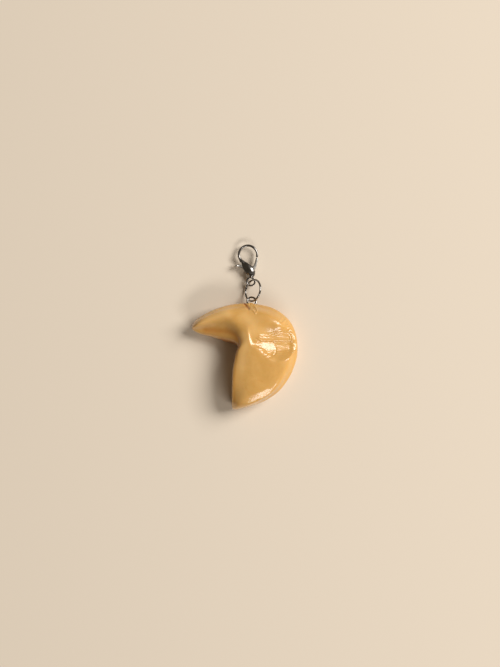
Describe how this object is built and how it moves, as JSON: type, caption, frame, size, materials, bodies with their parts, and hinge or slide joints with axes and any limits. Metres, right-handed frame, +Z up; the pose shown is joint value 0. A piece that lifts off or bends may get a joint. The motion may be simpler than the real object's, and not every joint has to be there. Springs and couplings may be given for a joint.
{
  "type": "fortune cookie charm",
  "caption": "Glossy clay charm in the shape of a folded fortune cookie, hung by an eye pin and a jump ring from a lobster clasp.",
  "frame": {"origin": "middle of the overall box, on the surface the charm lies on", "axes": "+Z up from the flat underside; +Y from the cookie along the chain to the clasp; +X towards the cookie's broad pressed rim"},
  "size_m": [0.0302, 0.0472, 0.0092],
  "materials": {
    "clay": "golden-brown modelling clay under an uneven clear gloss glaze",
    "wire": "dark polished plated wire",
    "clasp": "dark polished plating",
    "lever": "satin plated lever"
  },
  "bodies": {
    "charm": {"cookie": "clay", "eye_pin": "wire"},
    "ring": {"jump_ring": "wire"},
    "clasp": {"clasp_body": "clasp", "clasp_rivet": "clasp"},
    "lever": {"clasp_lever": "lever"}
  },
  "joints": [
    {"name": "ring_swing", "type": "hinge", "parent": "charm", "child": "ring", "pos_m": [0.00205, 0.0079, 0.0033], "axis": [0.9781, -0.2079, 0], "range_deg": [-40, 40]},
    {"name": "clasp_swing", "type": "hinge", "parent": "ring", "child": "clasp", "pos_m": [0.00175, 0.01308, 0.0016], "axis": [0.6388, 0.4752, 0.6051], "range_deg": [-80, 80]},
    {"name": "gate_hinge", "type": "hinge", "parent": "clasp", "child": "lever", "pos_m": [0.00157, 0.01623, 0.0016], "axis": [0, 0, 1], "range_deg": [0, 28], "stiffness_Nm_per_rad": 0.005}
  ]
}
